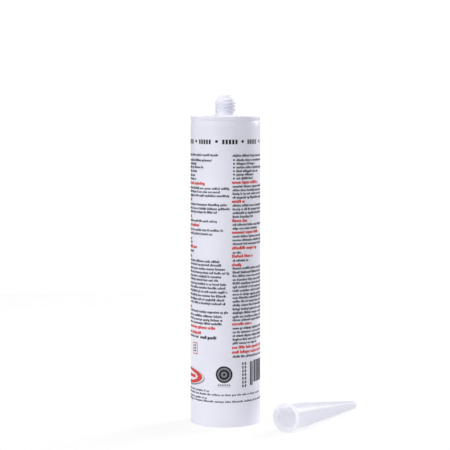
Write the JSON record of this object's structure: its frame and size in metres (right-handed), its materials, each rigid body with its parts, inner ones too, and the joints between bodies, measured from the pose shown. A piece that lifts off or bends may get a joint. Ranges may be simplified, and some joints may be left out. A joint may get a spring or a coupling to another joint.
{
  "type": "caulk tube",
  "caption": "Upright moulded caulk cartridge with threaded closed neck, sliding piston, sealant fill and a loose screw-on cone nozzle beside it.",
  "frame": {"origin": "centre of the open rear rim on the tube's axis, on the floor the tube stands on", "axes": "+Z along the tube towards the neck, -Y towards the side with the main print, +X towards the loose nozzle"},
  "size_m": [0.1228, 0.0946, 0.2335],
  "materials": {
    "cartridge": "satin moulded polyethylene",
    "nozzle": "milky moulded polyethylene",
    "plunger": "satin",
    "sealant": "smooth paste"
  },
  "bodies": {
    "cartridge": {"cartridge": "cartridge", "nozzle": "nozzle", "sealant": "sealant", "sealant_neck": "sealant"},
    "plunger": {"plunger": "plunger"}
  },
  "joints": [
    {"name": "plunger_slide", "type": "slide", "parent": "cartridge", "child": "plunger", "axis": [0, 0, 1], "range_m": [0, 0.175], "deforming": ["sealant"]}
  ]
}
